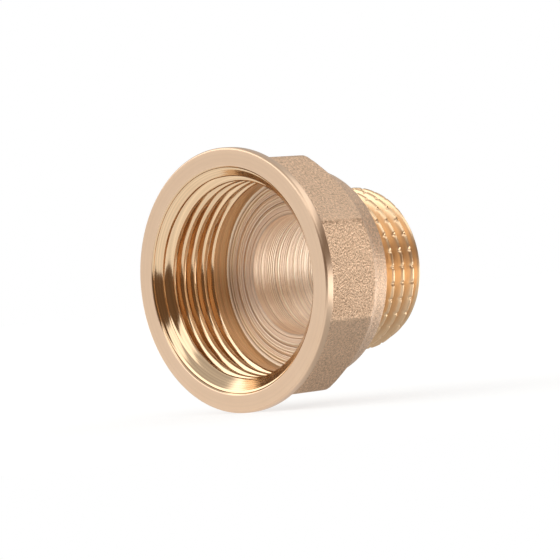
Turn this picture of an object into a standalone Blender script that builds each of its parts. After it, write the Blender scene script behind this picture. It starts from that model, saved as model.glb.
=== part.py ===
"""Reducing coupling: G 3/4 socket at one end, G 1/2 spigot at the other.

The fitting is one hot forged and machined piece of brass. Its axis lies along +Y:
the open mouth of the socket is at y = 0 and faces -Y, the spigot points to +Y, and four
of the eight wrench flats face up, down, left and right. Every turned shape is drawn as
a profile of (radius, height) about a local Z axis, which AXIS_TURN then lays along +Y.
"""

import math

import bmesh
import bpy
from mathutils import Matrix

MM = 0.001

# ---- driving dimensions -------------------------------------------------------------
# Collar: the round flange around the mouth of the socket.
COLLAR_DIAMETER = 33.0 * MM
COLLAR_THICKNESS = 1.35 * MM
COLLAR_EDGE = 0.2 * MM            # 45 degree edge break, front and back

# Body: eight flats for the wrench, then a shoulder and a tapered round neck.
BODY_SIDES = 8
ACROSS_FLATS = 29.4 * MM
CORNER_DIAMETER = 31.8 * MM       # the corners between the flats are rounded to this
FLATS_LENGTH = 7.95 * MM
SHOULDER_LENGTH = 2.0 * MM
SHOULDER_DIAMETER = 28.2 * MM     # where the shoulder meets the neck
NECK_LENGTH = 3.05 * MM
NECK_DIAMETER = 26.5 * MM         # where the neck ends in its flat back face

# Threads: parallel pipe threads, 14 turns to the inch, 55 degrees between flanks.
PITCH = 25.4 / 14 * MM
HALF_FLANK_ANGLE = math.radians(27.5)
THREAD_DEPTH = 0.640327 * PITCH
SOCKET_MAJOR = 26.441 * MM        # G 3/4
SOCKET_CREST_CUT = 0.2 * MM       # how much of each crest the tapping bore takes away
SPIGOT_MAJOR = 20.955 * MM        # G 1/2

# Socket: mouth chamfer, thread and flat seat.
MOUTH_DIAMETER = 28.5 * MM
SOCKET_DEPTH = 11.6 * MM
SOCKET_THREAD_MARGIN = 1.35 * MM  # from the middle of the last groove to the seat
SOCKET_THREAD_LEAD = 1.5 * MM     # how far before the mouth the cut begins
FADE_TURNS = 1.0                  # the socket thread runs out over this many turns

# Spigot: run-out relief, thread and end chamfer, and the bore through it.
SPIGOT_LENGTH = 9.9 * MM
RELIEF_WIDTH = 1.2 * MM
RELIEF_CLEARANCE = 0.12 * MM      # the relief is this much deeper than the thread
SPIGOT_THREAD_TURN = math.radians(-134)  # where around the axis the thread begins
END_CHAMFER = 0.7 * MM
BORE_DIAMETER = 15.2 * MM
BORE_EDGE = 0.3 * MM              # 45 degree edge break at the outlet

# Grip notches pressed across the crests of the spigot thread, 90 degree V.
NOTCH_COUNT = 31
NOTCH_TURN = math.radians(1.6)    # from +X to the first notch
NOTCH_DEPTH = 0.28 * MM

# ---- how finely the round shapes are drawn -------------------------------------------
ROUND_STEPS = 64
THREAD_STEPS = 40
CUT_OVERLAP = 0.18 * MM           # how far a cutter stands proud of what it cuts
MERGE = 0.00001
SHARP_ANGLE = math.radians(20)

# ---- sizes that follow ----------------------------------------------------------------
FLATS_END = COLLAR_THICKNESS + FLATS_LENGTH
SHOULDER_END = FLATS_END + SHOULDER_LENGTH
NECK_END = SHOULDER_END + NECK_LENGTH
OVERALL_LENGTH = NECK_END + SPIGOT_LENGTH
SOCKET_MINOR = SOCKET_MAJOR - 2 * (THREAD_DEPTH - SOCKET_CREST_CUT)
SPIGOT_MINOR = SPIGOT_MAJOR - 2 * THREAD_DEPTH
AXIS_TURN = (math.radians(-90), 0, 0)


def clear_scene():
    """Remove whatever the file opened with."""
    for thing in list(bpy.data.objects):
        bpy.data.objects.remove(thing, do_unlink=True)


def make_collection(name):
    collection = bpy.data.collections.new(name)
    bpy.context.scene.collection.children.link(collection)
    return collection


def brass_material():
    """Yellow brass, blasted and turned."""
    material = bpy.data.materials.new("forged_brass")
    material.use_nodes = True
    shader = material.node_tree.nodes["Principled BSDF"]
    shader.inputs["Base Color"].default_value = (0.70, 0.47, 0.27, 1)
    shader.inputs["Metallic"].default_value = 1.0
    shader.inputs["Roughness"].default_value = 0.35
    return material


def add_object(name, mesh, collection):
    """An object whose local Z is the axis of the fitting."""
    thing = bpy.data.objects.new(name, mesh)
    thing.rotation_euler = AXIS_TURN
    collection.objects.link(thing)
    return thing


def profile_object(name, profile, collection):
    """A closed outline of (radius, height) pairs in the local XZ plane."""
    count = len(profile)
    mesh = bpy.data.meshes.new(name)
    verts = [(radius, 0, height) for radius, height in profile]
    edges = [(index, (index + 1) % count) for index in range(count)]
    mesh.from_pydata(verts, edges, [])
    return add_object(name, mesh, collection)


def add_screw(thing, steps, turns=1.0, rise=0.0):
    """Carry the outline round the axis; a rise makes it climb like a thread."""
    screw = thing.modifiers.new("Turn", "SCREW")
    screw.axis = "Z"
    screw.angle = turns * math.tau
    screw.screw_offset = rise
    screw.steps = steps
    screw.render_steps = steps
    screw.use_merge_vertices = rise == 0
    screw.merge_threshold = MERGE
    screw.use_smooth_shade = False


def as_closed_mesh(thing):
    """Replace the object's mesh by its evaluated one, with open ends filled."""
    depsgraph = bpy.context.evaluated_depsgraph_get()
    mesh = bpy.data.meshes.new_from_object(thing.evaluated_get(depsgraph))
    thing.modifiers.clear()
    shape = bmesh.new()
    shape.from_mesh(mesh)
    bmesh.ops.remove_doubles(shape, verts=shape.verts, dist=MERGE)
    rim = [edge for edge in shape.edges if edge.is_boundary]
    bmesh.ops.holes_fill(shape, edges=rim)
    bmesh.ops.recalc_face_normals(shape, faces=shape.faces)
    shape.to_mesh(mesh)
    shape.free()
    thing.data = mesh


def outer_profile():
    """The outside of the blank, from the spigot's end face down to the mouth."""
    crest = SPIGOT_MAJOR / 2
    relief = SPIGOT_MINOR / 2 - RELIEF_CLEARANCE
    relief_end = NECK_END + RELIEF_WIDTH
    corner = CORNER_DIAMETER / 2
    collar = COLLAR_DIAMETER / 2
    return [
        (crest - END_CHAMFER, OVERALL_LENGTH),
        (crest, OVERALL_LENGTH - END_CHAMFER),
        (crest, relief_end + crest - relief),
        (relief, relief_end),
        (relief, NECK_END),
        (NECK_DIAMETER / 2, NECK_END),
        (SHOULDER_DIAMETER / 2, SHOULDER_END),
        (corner, FLATS_END),
        (corner, COLLAR_THICKNESS),
        (collar - COLLAR_EDGE, COLLAR_THICKNESS),
        (collar, COLLAR_THICKNESS - COLLAR_EDGE),
        (collar, COLLAR_EDGE),
        (collar - COLLAR_EDGE, 0),
    ]


def inner_profile():
    """The inside of the blank, from the mouth up to the spigot's end face."""
    mouth = MOUTH_DIAMETER / 2
    crest = SOCKET_MINOR / 2
    bore = BORE_DIAMETER / 2
    return [
        (mouth, 0),
        (crest, mouth - crest),
        (crest, SOCKET_DEPTH),
        (bore, SOCKET_DEPTH),
        (bore, OVERALL_LENGTH - BORE_EDGE),
        (bore + BORE_EDGE, OVERALL_LENGTH),
    ]


def groove_profile(root, crest, height):
    """Section of one thread groove: a V with a flat root, a little proud at the crest."""
    outward = 1 if crest > root else -1
    slope = math.tan(HALF_FLANK_ANGLE)
    proud = crest + outward * CUT_OVERLAP
    root_half = (PITCH / 2 - THREAD_DEPTH * slope) / 2
    proud_half = root_half + abs(proud - root) * slope
    return [
        (root, height - root_half),
        (root, height + root_half),
        (proud, height + proud_half),
        (proud, height - proud_half),
    ]


def thread_cutter(name, root, crest, start, end, collection):
    """A helical ridge that cuts one thread between two heights."""
    turns = (end - start) / PITCH
    cutter = profile_object(name, groove_profile(root, crest, start), collection)
    add_screw(cutter, round(turns * THREAD_STEPS), turns, end - start)
    as_closed_mesh(cutter)
    return cutter


def fade_out(cutter, start, end, shift):
    """Move the ridge radially, more and more, so that its groove grows shallow."""
    for vertex in cutter.data.vertices:
        share = min(max((vertex.co.z - start) / (end - start), 0), 1)
        radius = math.hypot(vertex.co.x, vertex.co.y)
        scale = 1 + share * shift / radius
        vertex.co.x *= scale
        vertex.co.y *= scale


def socket_thread_cutter(collection):
    """The socket's thread, cut inwards from the mouth and running out above the seat."""
    root = SOCKET_MAJOR / 2
    crest = SOCKET_MINOR / 2
    end = SOCKET_DEPTH - SOCKET_THREAD_MARGIN
    cutter = thread_cutter("socket_thread_cutter", root, crest,
                           -SOCKET_THREAD_LEAD, end, collection)
    fade_out(cutter, end - FADE_TURNS * PITCH, end, -THREAD_DEPTH - CUT_OVERLAP)
    return cutter


def spigot_thread_cutter(collection):
    """The spigot's thread, from the relief behind the neck out past the end face."""
    root = SPIGOT_MINOR / 2
    crest = SPIGOT_MAJOR / 2
    start = NECK_END + PITCH / 2
    cutter = thread_cutter("spigot_thread_cutter", root, crest,
                           start, OVERALL_LENGTH + PITCH, collection)
    cutter.data.transform(Matrix.Rotation(SPIGOT_THREAD_TURN, 4, "Z"))
    return cutter


def flats_cutter(collection):
    """A ring that is octagonal inside, and leaves the wrench flats."""
    inner = ACROSS_FLATS / 2 / math.cos(math.pi / BODY_SIDES)
    outer = COLLAR_DIAMETER
    profile = [
        (inner, COLLAR_THICKNESS),
        (inner, NECK_END),
        (outer, NECK_END),
        (outer, COLLAR_THICKNESS),
    ]
    cutter = profile_object("flats_cutter", profile, collection)
    cutter.data.transform(Matrix.Rotation(math.pi / BODY_SIDES, 4, "Z"))
    add_screw(cutter, BODY_SIDES)
    as_closed_mesh(cutter)
    return cutter


def notch_cutter(collection):
    """Square bars, corner down, laid along the spigot all the way round."""
    start = NECK_END + RELIEF_WIDTH / 2
    end = OVERALL_LENGTH + CUT_OVERLAP
    half_diagonal = NOTCH_DEPTH + CUT_OVERLAP
    radius = SPIGOT_MAJOR / 2 + CUT_OVERLAP
    shape = bmesh.new()
    for index in range(NOTCH_COUNT):
        angle = NOTCH_TURN + math.tau * index / NOTCH_COUNT
        place = (Matrix.Rotation(angle, 4, "Z")
                 @ Matrix.Translation((radius, 0, (start + end) / 2)))
        bmesh.ops.create_cone(shape, cap_ends=True, segments=4, radius1=half_diagonal,
                              radius2=half_diagonal, depth=end - start, matrix=place)
    mesh = bpy.data.meshes.new("notch_cutter")
    shape.to_mesh(mesh)
    shape.free()
    return add_object("notch_cutter", mesh, collection)


def cut(thing, cutter):
    """Subtract a cutter, which stays in its own collection as a guide."""
    boolean = thing.modifiers.new(cutter.name, "BOOLEAN")
    boolean.operation = "DIFFERENCE"
    boolean.solver = "EXACT"
    boolean.object = cutter
    cutter.hide_render = True
    cutter.display_type = "WIRE"


def settle(thing):
    """Give the piece its finished mesh, smooth where it is round and sharp at edges."""
    depsgraph = bpy.context.evaluated_depsgraph_get()
    mesh = bpy.data.meshes.new_from_object(thing.evaluated_get(depsgraph))
    mesh.name = thing.name
    mesh.shade_smooth()
    mesh.set_sharp_from_angle(angle=SHARP_ANGLE)
    thing.modifiers.clear()
    thing.data = mesh


def build():
    clear_scene()
    parts = make_collection("reducing_coupling")
    cutters = make_collection("cutters")
    body = profile_object("coupling_body", outer_profile() + inner_profile(), parts)
    body.data.materials.append(brass_material())
    add_screw(body, ROUND_STEPS)
    cut(body, flats_cutter(cutters))
    cut(body, socket_thread_cutter(cutters))
    cut(body, spigot_thread_cutter(cutters))
    cut(body, notch_cutter(cutters))
    settle(body)


build()
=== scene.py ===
# %% [markdown]
# # A brass reducing coupling
# The fitting joins a 3/4 inch pipe to a 1/2 inch one. It is a single piece of brass: hot
# forged to shape, blasted clean, then turned and threaded on a lathe. One end is a socket with
# an inside thread, the other a spigot with an outside thread. Because there is only one piece
# of metal, there is only one piece here, and the work goes into its surface.
#
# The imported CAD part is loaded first. It fixes where everything is, so it is never moved.

# %% Load the CAD part
import math

import bpy
import numpy as np
from mathutils import Matrix, Vector


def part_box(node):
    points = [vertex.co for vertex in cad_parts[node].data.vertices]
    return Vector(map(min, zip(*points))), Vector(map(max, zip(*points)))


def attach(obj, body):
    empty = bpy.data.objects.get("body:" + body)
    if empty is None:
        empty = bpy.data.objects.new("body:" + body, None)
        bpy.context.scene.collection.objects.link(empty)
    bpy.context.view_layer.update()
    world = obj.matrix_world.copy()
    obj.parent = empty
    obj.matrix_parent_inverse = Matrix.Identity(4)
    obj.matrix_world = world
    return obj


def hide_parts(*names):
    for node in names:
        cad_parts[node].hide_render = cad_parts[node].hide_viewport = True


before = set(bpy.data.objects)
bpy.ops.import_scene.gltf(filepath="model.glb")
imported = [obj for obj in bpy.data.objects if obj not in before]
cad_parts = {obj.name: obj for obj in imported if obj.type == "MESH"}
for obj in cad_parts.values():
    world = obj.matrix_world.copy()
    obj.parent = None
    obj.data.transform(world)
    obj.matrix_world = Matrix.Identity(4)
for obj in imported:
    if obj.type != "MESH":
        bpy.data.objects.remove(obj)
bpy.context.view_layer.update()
low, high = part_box("coupling_body")
print("CAD part from", low, "to", high)

# %% [markdown]
# ## Sizes
# The axis runs along +Y with the open mouth at y = 0. The overall sizes are read from the CAD
# part. The others are the sizes it was drawn with, in millimetres, so that the finished
# surface lies on it. Both threads are parallel pipe threads with 14 turns to the inch. Such a
# thread's depth, and the rounding of its crests and roots, are fixed shares of its pitch.

# %% Name the sizes
MM = 0.001
COLLAR_RADIUS = high.x / MM
LENGTH = high.y / MM
COLLAR_THICKNESS = 1.35
COLLAR_EDGE = 0.2
FLAT_RADIUS = 14.7
CORNER_RADIUS = 15.9
FLATS = 8
FLATS_END = 9.3
SHOULDER_END = 11.3
SHOULDER_RADIUS = 14.1
NECK_END = 14.35
NECK_RADIUS = 13.25
PITCH = 25.4 / 14
DEPTH_SHARE = 0.640327
THREAD_DEPTH = DEPTH_SHARE * PITCH
SOCKET_MAJOR = 26.441 / 2
CREST_CUT = 0.2
SOCKET_DEPTH = 11.6
MOUTH_RADIUS = 14.25
SPIGOT_MAJOR = 20.955 / 2
RELIEF_WIDTH = 1.2
RELIEF_CLEARANCE = 0.12
END_CHAMFER = 0.7
BORE_RADIUS = 7.6
BORE_EDGE = 0.3
NOTCHES = 31
NOTCH_DEPTH = 0.28
NOTCH_ANGLE = math.radians(-1.6)
SOCKET_MINOR = SOCKET_MAJOR - THREAD_DEPTH + CREST_CUT
SPIGOT_MINOR = SPIGOT_MAJOR - THREAD_DEPTH
RELIEF_RADIUS = SPIGOT_MINOR - RELIEF_CLEARANCE
print(f"collar {2 * COLLAR_RADIUS:.1f} mm across, {LENGTH:.2f} mm long")

# %% [markdown]
# ## The form of the thread
# A pipe thread has flanks 55 degrees apart, and its crests and roots are rounded to the same
# radius. A screw modifier could carry that section round the axis, but the runs in and out
# would have to be cut by hand. Here the thread is a height instead: a number for each place on
# the surface, which can be limited by chamfers and notches with a plain minimum.

# %% Thread height
# Both in pitches: the radius of the rounding, and how far the sharp apex of the flanks would
# reach past the rounded root.
ROUNDING = 0.137329
APEX = 0.160082
HALF_ANGLE = math.radians(27.5)


def thread_height(turns, round_crest=True):
    """Height above the root of a pipe thread, in pitches, at a distance from the groove.

    turns is counted from the middle of a groove, in pitches. The height follows a straight
    flank, distance over the tangent of the half angle, and near the root and the crest it
    follows a circle of the rounding radius instead. A crest left by boring is flat.
    """
    away = np.abs(turns - np.round(turns))
    reach = ROUNDING * math.cos(HALF_ANGLE)
    flank = away / math.tan(HALF_ANGLE) - APEX
    root = ROUNDING - np.sqrt(np.maximum(ROUNDING**2 - away**2, 0))
    past = 0.5 - away
    crest = DEPTH_SHARE - ROUNDING + np.sqrt(np.maximum(ROUNDING**2 - past**2, 0))
    height = np.where((past < reach) & round_crest, crest, flank)
    return np.where(away < reach, root, np.minimum(height, DEPTH_SHARE))


def groove_turns(along, angle, start):
    """Pitches from a groove that crosses the +X side at height start, on a right-hand helix."""
    return (along - start) / PITCH + angle / math.tau


print("thread is", round(float(thread_height(np.array(0.5))) * PITCH, 3), "mm deep")


# %% [markdown]
# ## Soft limits
# Where two shapes meet on a forging the edge is never sharp, because the dies wear and the
# blasting rounds it. A smooth minimum gives that edge: it is the smaller of two heights, with a
# small quadratic blend where they are nearly equal.

# %% Smooth minimum
def smooth_min(a, b, width):
    """The smaller of a and b, blended by a parabola where they differ by less than width."""
    share = np.clip(0.5 + (b - a) / (2 * width), 0, 1)
    return b + (a - b) * share - width * share * (1 - share)


def ramp(x, start, end):
    """0 before start, 1 after end, and a straight line between them."""
    return np.clip((x - start) / (end - start), 0, 1)


print("two equal heights blended over 0.2 mm lose", round(-smooth_min(0, 0, 0.2), 3), "mm")


# %% [markdown]
# ## Outlines
# Every turned shape starts as half its section: a line of points, each a height along the axis
# and a radius. The line is drawn through a few corners, and each corner is cut back to a short
# curve of its own size, which is the broken edge that catches the light on a real fitting.

# %% Outline with rounded corners
def outline(corners, spacing):
    """Points along a line through corners (height, radius, rounding), in order.

    Each inner corner becomes a quadratic curve that starts and ends at the rounding's distance
    from it. The straight lengths between them are divided into steps of about the spacing.
    """
    points = np.array([c[:2] for c in corners], float)
    sizes = np.array([c[2] for c in corners], float)
    ahead = np.diff(points, axis=0)
    span = np.linalg.norm(ahead, axis=1, keepdims=True)
    ahead = ahead / span
    rows = [points[:1]]
    for i in range(len(points) - 1):
        begin = points[i] + ahead[i] * sizes[i]
        end = points[i + 1] - ahead[i] * sizes[i + 1]
        steps = max(1, round(float(np.linalg.norm(end - begin)) / spacing))
        share = np.linspace(0, 1, steps + 1)[:, None]
        rows.append((begin + (end - begin) * share)[0 if sizes[i] else 1:])
        if sizes[i + 1] and i + 2 < len(points):
            t = np.array([[1 / 3], [2 / 3]])
            after = points[i + 1] + ahead[i + 1] * sizes[i + 1]
            rows.append(end * (1 - t) ** 2 + points[i + 1] * 2 * t * (1 - t) + after * t**2)
    return np.concatenate(rows)


print("a line round one corner has", len(outline([(0, 0, 0), (1, 0, 0.1), (1, 1, 0)], 1)), "points")


# %% [markdown]
# ## Rings of the outside
# From the mouth outwards: the face of the collar, its rim, the eight flats, the shoulder, the
# tapering neck with its flat back face, the relief where the threading tool ran out, and the
# spigot. Each ring is a height and the radius that the blank has there. The rings stand close
# together on the threads and far apart on plain metal, where more would add nothing.

# %% Rings of the outside
THREAD_STEP = 0.125
SHOULDER_STEP = 0.28
NECK_STEP = 1.1
PLAIN_STEP = 1.2
RING_GAP = 0.02
RIM_ROUNDING = 0.08
FACE_RING = 0.12
FACE_ROUNDING = 0.04
SHOULDER_LEAD = 0.8
SHOULDER_ROUNDING = 0.7
NECK_ROUNDING = 0.25
END_STEP = 0.05
RELIEF_END = NECK_END + RELIEF_WIDTH
NECK_START = SHOULDER_END + SHOULDER_ROUNDING
NECK_SLOPE = (SHOULDER_RADIUS - NECK_RADIUS) / (NECK_END - SHOULDER_END)
NECK_START_RADIUS = SHOULDER_RADIUS - SHOULDER_ROUNDING * NECK_SLOPE

collar_rows = outline([
    (0, MOUTH_RADIUS, 0),
    (0, MOUTH_RADIUS + FACE_RING, FACE_ROUNDING),
    (0, COLLAR_RADIUS - COLLAR_EDGE, RIM_ROUNDING),
    (COLLAR_EDGE, COLLAR_RADIUS, RIM_ROUNDING),
    (COLLAR_THICKNESS - COLLAR_EDGE, COLLAR_RADIUS, RIM_ROUNDING),
    (COLLAR_THICKNESS, COLLAR_RADIUS - COLLAR_EDGE, RIM_ROUNDING),
    (COLLAR_THICKNESS, CORNER_RADIUS + RING_GAP, 0),
], PLAIN_STEP)
body_rows = outline([
    (COLLAR_THICKNESS + RING_GAP, CORNER_RADIUS, 0),
    (FLATS_END - SHOULDER_LEAD, CORNER_RADIUS, 0),
], PLAIN_STEP)
shoulder_rows = outline([
    (FLATS_END - SHOULDER_LEAD, CORNER_RADIUS, 0),
    (FLATS_END, CORNER_RADIUS, SHOULDER_ROUNDING),
    (SHOULDER_END, SHOULDER_RADIUS, SHOULDER_ROUNDING),
    (NECK_START, NECK_START_RADIUS, 0),
], SHOULDER_STEP)[1:]
neck_rows = outline([
    (NECK_START, NECK_START_RADIUS, 0),
    (NECK_END, NECK_RADIUS, NECK_ROUNDING),
    (NECK_END, RELIEF_RADIUS, NECK_ROUNDING),
    (RELIEF_END, RELIEF_RADIUS, 0),
], NECK_STEP)[1:]
spigot_rows = outline([
    (RELIEF_END, RELIEF_RADIUS, 0),
    (RELIEF_END + RING_GAP / 2, SPIGOT_MAJOR, 0),
    (LENGTH - END_CHAMFER, SPIGOT_MAJOR, 0),
    (LENGTH - RING_GAP, SPIGOT_MAJOR, 0),
], THREAD_STEP)
spigot_rows = spigot_rows[spigot_rows[:, 1] >= SPIGOT_MAJOR]
end_rows = np.array([[LENGTH, SPIGOT_MAJOR - END_CHAMFER - END_STEP]])
outer_rows = np.concatenate([collar_rows, body_rows, shoulder_rows, neck_rows, spigot_rows,
                             end_rows])
print("rings of the outside:", len(outer_rows))

# %% [markdown]
# ## Radius of the outside
# The flats are a limit on the blank's radius: the distance to the flat's plane at that angle.
# On the spigot the thread, the chamfers at its ends and the notches are limits in the same
# way. There is a whole number of points for each notch, so every notch comes out alike.

# %% Radius of the outside
POINTS_PER_NOTCH = 16
COLUMNS = NOTCHES * POINTS_PER_NOTCH
SPIGOT_START_DEGREES = 134
SPIGOT_GROOVE = NECK_END + PITCH / 2 + PITCH * SPIGOT_START_DEGREES / 360
FLAT_BLEND = 0.22
CHAMFER_BLEND = 0.06
NOTCH_BLEND = 0.08
NOTCH_BOTTOM = 0.05
outer_angle = NOTCH_ANGLE + np.arange(COLUMNS) * math.tau / COLUMNS


def body_radius(radius, angle):
    """Radius of the body: the smaller of the blank and the distance to the nearest flat.

    That distance is the flat radius over the cosine of the angle from the flat's middle.
    """
    sector = math.tau / FLATS
    from_middle = angle - sector * np.round(angle / sector)
    return smooth_min(radius, FLAT_RADIUS / np.cos(from_middle), FLAT_BLEND)


def spigot_radius(along, angle):
    """Radius of the spigot: the smallest of the thread, two chamfers and the notches.

    The chamfers lie at 45 degrees, so they rise one for one with the height. A notch's sides
    rise one for one with the distance round the crest, from a slightly rounded bottom.
    """
    thread = SPIGOT_MINOR + thread_height(groove_turns(along, angle, SPIGOT_GROOVE)) * PITCH
    chamfer_in = RELIEF_RADIUS + (along - RELIEF_END)
    chamfer_out = SPIGOT_MAJOR - END_CHAMFER + (LENGTH - along)
    notch = (angle - NOTCH_ANGLE) * NOTCHES / math.tau
    off_notch = np.abs(notch - np.round(notch)) * math.tau / NOTCHES * SPIGOT_MAJOR
    pressed = SPIGOT_MAJOR - NOTCH_DEPTH + np.sqrt(off_notch**2 + NOTCH_BOTTOM**2)
    chamfered = smooth_min(thread, np.minimum(chamfer_in, chamfer_out), CHAMFER_BLEND)
    return np.minimum(smooth_min(chamfered, pressed, NOTCH_BLEND), SPIGOT_MAJOR)


def outer_radius(along, radius, angle):
    """Radius of the outside at each height and angle, from the blank's radius there.

    Between the collar and the neck's back face it is the body's, past the relief it is the
    spigot's, and elsewhere it is the blank's own.
    """
    along, radius, angle = np.broadcast_arrays(along, radius, angle)
    body = (along > COLLAR_THICKNESS) & (along < NECK_END)
    threaded = (along > RELIEF_END) & (along < LENGTH)
    blank = np.where(body, body_radius(radius, angle), radius)
    return np.where(threaded, spigot_radius(along, angle), blank)


outer_grid = outer_radius(outer_rows[:, :1], outer_rows[:, 1:], outer_angle[None, :])
print("outside:", outer_grid.shape[0], "rings of", outer_grid.shape[1], "points")

# %% [markdown]
# ## The inside
# From the outlet back to the mouth: the straight bore, the flat seat where the pipe's washer
# sits, a plain stretch of wall, the thread, which grows shallow over its last turn, and the
# wide chamfer that leads the pipe in. The radius is now the larger of the blank and the
# thread. Half as many points go round, because nothing here is as fine as the notches.

# %% Inner surface
SOCKET_GROOVE = -1.5
RUN_OUT = 1.35
THREAD_STOP = SOCKET_DEPTH - RUN_OUT
WALL_LEAD = 0.5
WALL_START = THREAD_STOP + WALL_LEAD
LIP_START = 0.6
BORE_STEP = 1.6
LIP_STEP = 0.06
BORE_ROUNDING = 0.06
SEAT_ROUNDING = 0.12
SEAT_RING = 10.2
SEAT_RING_DEPTH = 0.07
SEAT_RING_INNER = 0.25
SEAT_RING_OUTER = 0.12
SEAT_RING_ROUNDING = 0.03
LIP_GROOVE = 0.12
LIP_HEIGHT = 0.33
LIP_WIDTH = 0.07
CONE_BLEND = 0.08
inner_angle = outer_angle[::2]

bore_rows = outline([
    (LENGTH, BORE_RADIUS + BORE_EDGE, 0),
    (LENGTH - BORE_EDGE, BORE_RADIUS, BORE_ROUNDING),
    (SOCKET_DEPTH, BORE_RADIUS, SEAT_ROUNDING),
    (SOCKET_DEPTH, SEAT_RING - SEAT_RING_INNER, SEAT_RING_ROUNDING),
    (SOCKET_DEPTH + SEAT_RING_DEPTH, SEAT_RING, SEAT_RING_ROUNDING),
    (SOCKET_DEPTH, SEAT_RING + SEAT_RING_OUTER, SEAT_RING_ROUNDING),
    (SOCKET_DEPTH, SOCKET_MINOR, SEAT_ROUNDING),
    (WALL_START, SOCKET_MINOR, 0),
], BORE_STEP)
wall_rows = outline([(WALL_START, SOCKET_MINOR, 0), (LIP_START, SOCKET_MINOR, 0)], THREAD_STEP)
lip_rows = outline([(LIP_START, SOCKET_MINOR, 0), (LIP_STEP, SOCKET_MINOR, 0)], LIP_STEP)
inner_rows = np.concatenate([bore_rows, wall_rows[1:], lip_rows[1:]])


def inner_radius(along, radius, angle):
    """Radius of the inside: the largest of the blank, the lead-in cone and the thread.

    The thread's radius is the major radius less the height of the thread. Past the start of
    the last turn, the whole groove is drawn inwards by its share of that turn. The lip's fine
    groove is added on top, deepest at its own height and fading as a bell curve.
    """
    along, radius, angle = np.broadcast_arrays(along, radius, angle)
    turns = groove_turns(along, angle, SOCKET_GROOVE)
    middle = along - (turns - np.round(turns)) * PITCH
    shallow = ramp(middle, THREAD_STOP - PITCH, THREAD_STOP) * THREAD_DEPTH
    thread = SOCKET_MAJOR - thread_height(turns, round_crest=False) * PITCH - shallow
    cone = MOUTH_RADIUS - along
    lip = LIP_GROOVE * np.exp(-(((along - LIP_HEIGHT) / LIP_WIDTH) ** 2))
    wall = -smooth_min(-np.maximum(thread, SOCKET_MINOR), -cone, CONE_BLEND) + lip
    threaded = (along < WALL_START) & (along > 0)
    return np.where(threaded, np.minimum(wall, MOUTH_RADIUS), radius)


inner_grid = inner_radius(inner_rows[:, :1], inner_rows[:, 1:], inner_angle[None, :])
print("inside:", inner_grid.shape[0], "rings of", inner_grid.shape[1], "points")


# %% [markdown]
# ## One closed mesh
# The two grids become one skin. Each ring joins the next with four-sided faces, and where the
# outside with its many columns meets the inside with half as many, three triangles bridge each
# pair. Every edge then has two faces, as on solid metal.

# %% Build the mesh
def ring_points(rows, grid, angle):
    """Corner positions in metres: radius times cosine and sine of the angle, height along Y."""
    along = np.broadcast_to(rows[:, :1], grid.shape)
    points = np.stack([grid * np.cos(angle), along, grid * np.sin(angle)], axis=-1)
    return points.reshape(-1, 3) * MM


def ring_faces(rings, columns, first):
    """Four-sided faces between neighbouring rings, wrapped round the axis."""
    row = np.arange(rings - 1)[:, None] * columns + first
    column = np.arange(columns)[None, :]
    a, b = row + column, row + (column + 1) % columns
    return np.stack([a, a + columns, b + columns, b], axis=-1).reshape(-1, 4)


def bridge_faces(wide, narrow, columns, inward):
    """Triangles from a ring of 2 x columns points to a ring of columns points.

    wide and narrow are the rings' first points. inward is True where the narrow ring follows
    the wide one along the outline.
    """
    i = np.arange(columns)
    w0, w1, w2 = wide + 2 * i, wide + 2 * i + 1, wide + (2 * i + 2) % (2 * columns)
    n0, n1 = narrow + i, narrow + (i + 1) % columns
    faces = np.concatenate([np.stack(f, -1) for f in ((w0, n0, w1), (w1, n0, n1), (w1, n1, w2))])
    return faces if inward else faces[:, ::-1]


outer_points = ring_points(outer_rows, outer_grid, outer_angle)
inner_points = ring_points(inner_rows, inner_grid, inner_angle)
outer_count, inner_columns = len(outer_points), COLUMNS // 2
quads = np.concatenate([
    ring_faces(len(outer_rows), COLUMNS, 0),
    ring_faces(len(inner_rows), inner_columns, outer_count),
])
last_outer = outer_count - COLUMNS
last_inner = outer_count + len(inner_points) - inner_columns
triangles = np.concatenate([
    bridge_faces(last_outer, outer_count, inner_columns, True),
    bridge_faces(0, last_inner, inner_columns, False),
])
mesh = bpy.data.meshes.new("finished_coupling")
mesh.from_pydata(np.concatenate([outer_points, inner_points]).tolist(), [],
                 quads.tolist() + triangles.tolist())
mesh.validate()
mesh.update()
print("mesh:", 2 * len(quads) + len(triangles), "triangles")

# %% [markdown]
# ## Put it in the scene
# The mesh carries its own place, so its object stays at the origin. Smooth shading with normals
# weighted by face area keeps the flats flat and the narrow rounded edges round. The fitting has
# no moving part, so it rides on the root body, in place of the CAD node.

# %% Add the piece
coupling = bpy.data.objects.new("finished_coupling", mesh)
bpy.context.scene.collection.objects.link(coupling)
mesh.shade_smooth()
weighted = coupling.modifiers.new("Weighted normals", "WEIGHTED_NORMAL")
weighted.mode = "FACE_AREA"
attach(coupling, "root")
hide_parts("coupling_body")
print("added", coupling.name)

# %% [markdown]
# ## Where each finish goes
# A lathe and a blasting cabinet leave different skins on one piece of brass, so each face is
# told which it has. A UV map goes with it: U is the distance walked along the outline, so a
# pattern that reads U alone makes rings round the axis, as a turning tool does. The inside's U
# starts further along than the outside's ends, so their rings are not the same.

# %% Zones and the turning map
BLASTED, FACED, THREADED, TAPPED, BORED = range(5)
SEAT_MARGIN = 0.1
INSIDE_START = 60


def zone_of(rows, inside):
    """The finish of each ring's faces, from the ring's height."""
    along = rows[:, 0]
    if inside:
        return np.where(along < SOCKET_DEPTH - SEAT_MARGIN, TAPPED, BORED)
    zone = np.where(along <= COLLAR_THICKNESS, FACED, BLASTED)
    return np.where(along >= NECK_END, THREADED, zone)


def walked(rows):
    """Distance along the outline to each ring, in millimetres."""
    return np.concatenate([[0], np.cumsum(np.linalg.norm(np.diff(rows, axis=0), axis=1))])


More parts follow.
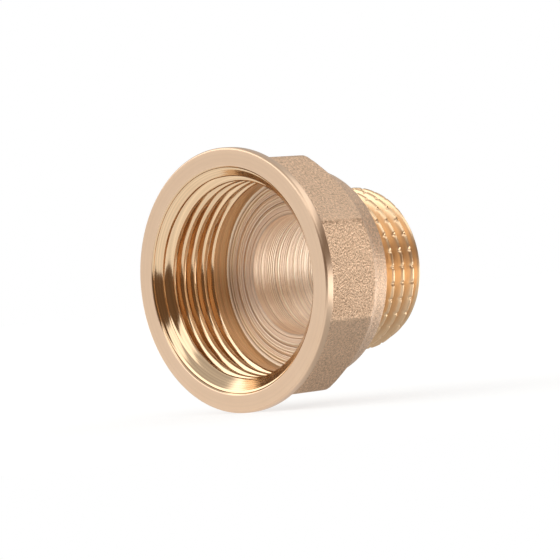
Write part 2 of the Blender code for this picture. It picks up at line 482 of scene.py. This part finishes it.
outer_zone, inner_zone = zone_of(outer_rows, False), zone_of(inner_rows, True)
zones = np.concatenate([
    np.repeat(outer_zone[:-1], COLUMNS),
    np.repeat(inner_zone[1:], inner_columns),
    np.full(3 * inner_columns, BORED),
    np.full(3 * inner_columns, FACED),
])
mesh.polygons.foreach_set("material_index", zones.astype(np.int32))

distance = np.concatenate([
    np.repeat(walked(outer_rows), COLUMNS),
    np.repeat(walked(inner_rows) + INSIDE_START, inner_columns),
])
around = np.concatenate([
    np.tile(outer_angle, len(outer_rows)),
    np.tile(inner_angle, len(inner_rows)),
]) / math.tau
corner_vertex = np.empty(len(mesh.loops), np.int32)
mesh.loops.foreach_get("vertex_index", corner_vertex)
turning = mesh.uv_layers.new(name="turning")
uv = np.stack([distance[corner_vertex], around[corner_vertex]], axis=-1)
turning.data.foreach_set("uv", uv.astype(np.float32).ravel())
print("faces per finish:", np.bincount(zones).tolist())


# %% [markdown]
# ## Helpers for finishes
# Colours are written as the hex values a person picks from a chart, which are made for screens.
# The shader wants linear light, so one function converts them. Another adds a node with its
# settings and its links, which keeps each material to a few readable lines.

# %% Colour and node helpers
def linear(colour):
    """An sRGB hex colour as linear red, green, blue and an alpha of 1."""
    parts = [int(colour[i:i + 2], 16) / 255 for i in (1, 3, 5)]
    return [p / 12.92 if p <= 0.04045 else ((p + 0.055) / 1.055) ** 2.4 for p in parts] + [1]


def node(tree, kind, settings=None, **inputs):
    """Add a node, set its properties, then fill or link its inputs by name.

    An input's name is written with _ for each space. One written as _0 or _6 is found by its
    number instead, for nodes that give several inputs the same name.
    """
    made = tree.nodes.new(kind)
    for key, value in (settings or {}).items():
        setattr(made, key, value)
    for name, value in inputs.items():
        plug = made.inputs[int(name[1:])] if name[0] == "_" and name[1:].isdigit() \
            else made.inputs[name.replace("_", " ")]
        if isinstance(value, bpy.types.NodeSocket):
            tree.links.new(value, plug)
        else:
            plug.default_value = value
    return made


def brass(name, roughness):
    """A new metal material with its shader node, ready for colour and bump."""
    material = bpy.data.materials.new(name)
    material.use_nodes = True
    shader = material.node_tree.nodes["Principled BSDF"]
    shader.inputs["Metallic"].default_value = 1.0
    shader.inputs["Roughness"].default_value = roughness
    return material, material.node_tree, shader


print("#808080 in linear light is", round(linear("#808080")[0], 3))

# %% [markdown]
# ## Blasted brass
# The forged skin is blasted with fine beads. Each bead leaves a dimple, so light scatters and
# the metal looks pale and satin, with a grain that glitters a little.

# %% Blasted forged brass
# Real dimples are near 0.1 mm. They are drawn 0.25 mm wide, which is as fine as shows.
DIMPLE = 0.25
DIMPLE_DEPTH = 0.11
CLOUD = 2.5


def blasted_brass():
    """Pale satin brass: dimples from blasting, and a faint cloudiness from the forging."""
    material, tree, shader = brass("bead_blasted_forged_brass", 0.44)
    place = node(tree, "ShaderNodeTexCoord").outputs["Object"]
    clouds = node(tree, "ShaderNodeTexNoise", Vector=place, Scale=1 / (CLOUD * MM), Detail=2.0)
    grain = node(tree, "ShaderNodeTexNoise", Vector=place, Scale=1 / (DIMPLE * MM), Detail=2.0,
                 Roughness=0.6)
    tint = node(tree, "ShaderNodeMix", {"data_type": "RGBA"}, _0=clouds.outputs["Fac"],
                _6=linear("#D8B798"), _7=linear("#E2C2A4"))
    speckle = node(tree, "ShaderNodeMapRange", Value=grain.outputs["Fac"], From_Min=0.3,
                   From_Max=0.7, To_Min=0.66, To_Max=1.28)
    shade = node(tree, "ShaderNodeMix", {"data_type": "RGBA", "blend_type": "MULTIPLY"}, _0=1.0,
                 _6=tint.outputs[2], _7=speckle.outputs["Result"])
    bump = node(tree, "ShaderNodeBump", Strength=1.0, Distance=DIMPLE_DEPTH * MM,
                Height=grain.outputs["Fac"])
    tree.links.new(shade.outputs[2], shader.inputs["Base Color"])
    tree.links.new(bump.outputs["Normal"], shader.inputs["Normal"])
    return material


forged_skin = blasted_brass()
print("finish:", forged_skin.name)

# %% [markdown]
# ## Turned and threaded brass
# Where a tool has cut, fine rings are left by its feed. The rings are one-dimensional noise
# along U, so that they are uneven like real ones. The same recipe with other widths, depths and
# roughness gives the four cut finishes.

# %% Turned finishes
STAIN = 3


def turned_brass(name, colour, second, roughness, ring, depth, contrast):
    """Cut brass with tool rings: their width and the bump's depth are in millimetres.

    The contrast is how much a ring's own shade differs from the mean.
    """
    material, tree, shader = brass(name, roughness)
    coords = node(tree, "ShaderNodeUVMap", {"uv_map": "turning"})
    walk = node(tree, "ShaderNodeSeparateXYZ", Vector=coords.outputs["UV"])
    rings = node(tree, "ShaderNodeTexNoise", {"noise_dimensions": "1D"}, W=walk.outputs["X"],
                 Scale=1 / ring, Detail=2.0)
    place = node(tree, "ShaderNodeTexCoord").outputs["Object"]
    stain = node(tree, "ShaderNodeTexNoise", Vector=place, Scale=1 / (STAIN * MM), Detail=3.0)
    tint = node(tree, "ShaderNodeMix", {"data_type": "RGBA"}, _0=stain.outputs["Fac"],
                _6=linear(colour), _7=linear(second))
    stripe = node(tree, "ShaderNodeMapRange", Value=rings.outputs["Fac"], From_Min=0.3,
                  From_Max=0.7, To_Min=1 - contrast, To_Max=1 + contrast)
    shade = node(tree, "ShaderNodeMix", {"data_type": "RGBA", "blend_type": "MULTIPLY"}, _0=1.0,
                 _6=tint.outputs[2], _7=stripe.outputs["Result"])
    bump = node(tree, "ShaderNodeBump", Strength=0.5, Distance=depth * MM,
                Height=rings.outputs["Fac"])
    tree.links.new(shade.outputs[2], shader.inputs["Base Color"])
    tree.links.new(bump.outputs["Normal"], shader.inputs["Normal"])
    return material


# The collar is faced with a light cut, so it is satin and even, with hardly any rings to see.
# The cut outside thread is the yellowest, and its crests flash. The tapped socket is the
# smoothest, so it mirrors the room's dark and bright parts. The seat and bore are pale and
# dull with broad soft rings. Real marks are far shallower than the 0.8 mm given there, but a
# dull surface would not show them. After two colours come the roughness, the rings' width, the
# bump's depth and the contrast.
finishes = [
    forged_skin,
    turned_brass("faced_brass_collar", "#DDBEA0", "#E2C4A8", 0.32, 0.25, 0.008, 0.03),
    turned_brass("thread_cut_brass", "#F2CDA0", "#F5D4AE", 0.33, 0.2, 0.012, 0.05),
    turned_brass("tapped_brass_socket", "#E2C29C", "#E7C9A6", 0.12, 0.2, 0.015, 0.1),
    turned_brass("bored_brass_seat", "#F6DCC2", "#FAE4CE", 0.5, 0.33, 0.8, 0.22),
]
for finish in finishes:
    mesh.materials.append(finish)
print("finishes:", [m.name for m in finishes])

# %% [markdown]
# ## Camera
# A long lens from 37 centimetres away shows the fitting with little perspective. The camera
# stands near the height of the axis, 45 degrees round from the mouth, and is rolled a little,
# so that the fitting seems to lean. Its own three directions are worked out first: to its
# right, ahead and up.

# %% Camera
VIEW_AROUND = math.radians(44.6)
VIEW_ROLL = math.radians(5.55)
VIEW_DISTANCE = 372.2
VIEW_SHIFT = (6.17, 0.08)
SENSOR_WIDTH = 36
LENS = 193.3

sideways = Vector((math.cos(VIEW_AROUND), math.sin(VIEW_AROUND), 0))
ahead_of_lens = Vector((-math.sin(VIEW_AROUND), math.cos(VIEW_AROUND), 0))
upright = Vector((0, 0, 1))
right = sideways * math.cos(VIEW_ROLL) - upright * math.sin(VIEW_ROLL)
top = sideways * math.sin(VIEW_ROLL) + upright * math.cos(VIEW_ROLL)
stand = (right * VIEW_SHIFT[0] + top * VIEW_SHIFT[1] - ahead_of_lens * VIEW_DISTANCE) * MM

lens = bpy.data.cameras.new("camera")
lens.sensor_width = SENSOR_WIDTH
lens.lens = LENS
camera = bpy.data.objects.new("camera", lens)
bpy.context.scene.collection.objects.link(camera)
turn = Matrix((right, top, -ahead_of_lens)).transposed()
camera.matrix_world = Matrix.Translation(stand) @ turn.to_4x4()
bpy.context.scene.camera = camera
bpy.context.scene.view_settings.view_transform = "Standard"
print("camera at", [round(v / MM) for v in stand], "mm")

# %% [markdown]
# ## Studio
# Metal shows only what it reflects, so the studio is designed as a set of reflections. Round
# the right side runs a dark band, to draw the edges, with a wide softbox above it. On the front
# left the softbox comes lower, and lights the collar's face. Overhead, and at the back on the
# left, the room is plain. Below the horizon it is bright on the left and as dark as the band on
# the right. No lamp or wall is built: each is a brightness painted on the room by direction,
# so one number sets it. The camera itself sees plain white.

# %% Room
DARK_BAND = 0.2
DARK_WALLS = "#E2B488"
SOFTBOX_RIGHT = 1.6
SOFTBOX_LEFT = 2.1
CEILING = 0.6
LOW_LEFT = 0.75
UNDER_LEFT = 1.0
# The heights in degrees over which one area fades into the next.
CEILING_FADE = (51, 59)
RIGHT_FADE = (27, 33)
LEFT_FADE = (11, 17)
# The other fades are widths in X, Y and Z of a direction, whose length is 1.
SIDE_FADE = 0.08
FRONT_FADE = 0.1
HORIZON_FADE = 0.02


def room():
    """Light by direction: bands of elevation on each side, and white where the camera looks.

    A direction's Z is the sine of its angle above the horizon, so each band ends at a sine.
    """
    world = bpy.data.worlds.new("studio_room")
    world.use_nodes = True
    tree = world.node_tree
    tree.nodes.clear()
    way = node(tree, "ShaderNodeTexCoord").outputs["Generated"]
    axes = node(tree, "ShaderNodeSeparateXYZ", Vector=way).outputs

    def step(value, start, end, before, after):
        """A soft step between two levels as a direction's part goes from start to end."""
        made = node(tree, "ShaderNodeMapRange", {"interpolation_type": "SMOOTHSTEP"},
                    Value=value, From_Min=start, From_Max=end, To_Min=before, To_Max=after)
        return made.outputs["Result"]

    def rise(fade, before, after):
        """A soft step over two heights in degrees."""
        start, end = (math.sin(math.radians(degrees)) for degrees in fade)
        return step(axes["Z"], start, end, before, after)

    def blend(share, first, second):
        """Mix two levels by a share from 0 to 1."""
        return node(tree, "ShaderNodeMix", _0=share, _2=first, _3=second).outputs[0]

    overhead = rise(CEILING_FADE, 0, 1)
    right_side = rise(RIGHT_FADE, DARK_BAND, SOFTBOX_RIGHT)
    front_left = rise(LEFT_FADE, LOW_LEFT, SOFTBOX_LEFT)
    in_front = step(axes["Y"], FRONT_FADE, -FRONT_FADE, 0, 1)
    left_side = blend(in_front, CEILING, front_left)
    to_the_right = step(axes["X"], -SIDE_FADE, SIDE_FADE, 0, 1)
    above = blend(overhead, blend(to_the_right, left_side, right_side), CEILING)
    under = blend(to_the_right, UNDER_LEFT, DARK_BAND)
    level = blend(step(axes["Z"], -HORIZON_FADE, 0, 0, 1), under, above)
    pale = node(tree, "ShaderNodeMapRange", Value=level, From_Min=DARK_BAND, From_Max=CEILING)
    tone = node(tree, "ShaderNodeMix", {"data_type": "RGBA"}, _0=pale.outputs["Result"],
                _6=linear(DARK_WALLS), _7=(1, 1, 1, 1))
    glow = node(tree, "ShaderNodeBackground", Color=tone.outputs[2], Strength=level)
    white = node(tree, "ShaderNodeBackground", Color=(1, 1, 1, 1), Strength=1.0)
    seen = node(tree, "ShaderNodeLightPath").outputs["Is Camera Ray"]
    both = node(tree, "ShaderNodeMixShader", _0=seen, _1=glow.outputs[0], _2=white.outputs[0])
    node(tree, "ShaderNodeOutputWorld", Surface=both.outputs[0])
    bpy.context.scene.world = world


room()
print("room: dark band", DARK_BAND, "softboxes", SOFTBOX_LEFT, "and", SOFTBOX_RIGHT)

# %% [markdown]
# ## Table
# Paper lies just under the collar's rim. Its own colour is grey, and it glows, so that the
# room's light and the glow together look white, even in the shade. In reflections its glow has
# three levels, which stand for things that are not built: plain paper in front, a darker painted
# shadow of the fitting just behind it, and a bright painted pool of light further back, as if a
# lamp were aimed at the paper.

# %% Table
TABLE_EDGE = 87
TABLE_HALF = 2000
TABLE_GLOW = 0.74
# Glow levels seen only in reflections: a painted shadow of the fitting just behind it, fading in
# over 8 mm, and a painted pool of light from 48 to 72 mm away.
PAINTED_SHADOW_GLOW = 0.36
PAINTED_LIGHT_POOL = 2.0
PAINTED_SHADOW_FADE = 8
POOL_START, POOL_END = 48, 72
PAPER = "#888886"


def table():
    """Glowing paper whose painted shadow and painted pool of light are hidden from the camera.

    Its front edge is square to the camera's line of sight.
    """
    floor_mesh = bpy.data.meshes.new("table")
    front, level = ahead_of_lens * -TABLE_EDGE * MM, upright * -COLLAR_RADIUS * MM
    half = TABLE_HALF * MM
    corners = [front - sideways * half, front + sideways * half,
               (ahead_of_lens + sideways) * half, (ahead_of_lens - sideways) * half]
    floor_mesh.from_pydata([corner + level for corner in corners], [], [(0, 1, 2, 3)])
    floor = bpy.data.objects.new("table", floor_mesh)
    bpy.context.scene.collection.objects.link(floor)
    paper = bpy.data.materials.new("white_table_paper")
    paper.use_nodes = True
    tree = paper.node_tree
    shader = tree.nodes["Principled BSDF"]
    place = node(tree, "ShaderNodeTexCoord").outputs["Object"]
    far = node(tree, "ShaderNodeVectorMath", {"operation": "LENGTH"}, _0=place)
    # Painted shadow near the fitting, rising to a painted pool of light further away.
    pool = node(tree, "ShaderNodeMapRange", {"interpolation_type": "SMOOTHSTEP"},
                Value=far.outputs["Value"], From_Min=POOL_START * MM, From_Max=POOL_END * MM,
                To_Min=PAINTED_SHADOW_GLOW, To_Max=PAINTED_LIGHT_POOL)
    axes = node(tree, "ShaderNodeSeparateXYZ", Vector=place)
    # Plain paper in front of the fitting; the painted shadow and the painted pool of light lie
    # behind it.
    behind = node(tree, "ShaderNodeMapRange", {"interpolation_type": "SMOOTHSTEP"},
                  Value=axes.outputs["Y"], From_Min=0, From_Max=PAINTED_SHADOW_FADE * MM)
    seen = node(tree, "ShaderNodeLightPath").outputs["Is Camera Ray"]
    mirrored = node(tree, "ShaderNodeMix", _0=behind.outputs["Result"], _2=TABLE_GLOW,
                    _3=pool.outputs["Result"])
    glow = node(tree, "ShaderNodeMix", _0=seen, _2=mirrored.outputs[0], _3=TABLE_GLOW)
    tree.links.new(glow.outputs[0], shader.inputs["Emission Strength"])
    shader.inputs["Emission Color"].default_value = (1, 1, 1, 1)
    shader.inputs["Base Color"].default_value = linear(PAPER)
    shader.inputs["Roughness"].default_value = 0.9
    floor_mesh.materials.append(paper)


table()
print("table's front edge is", TABLE_EDGE, "mm from the middle of the mouth")
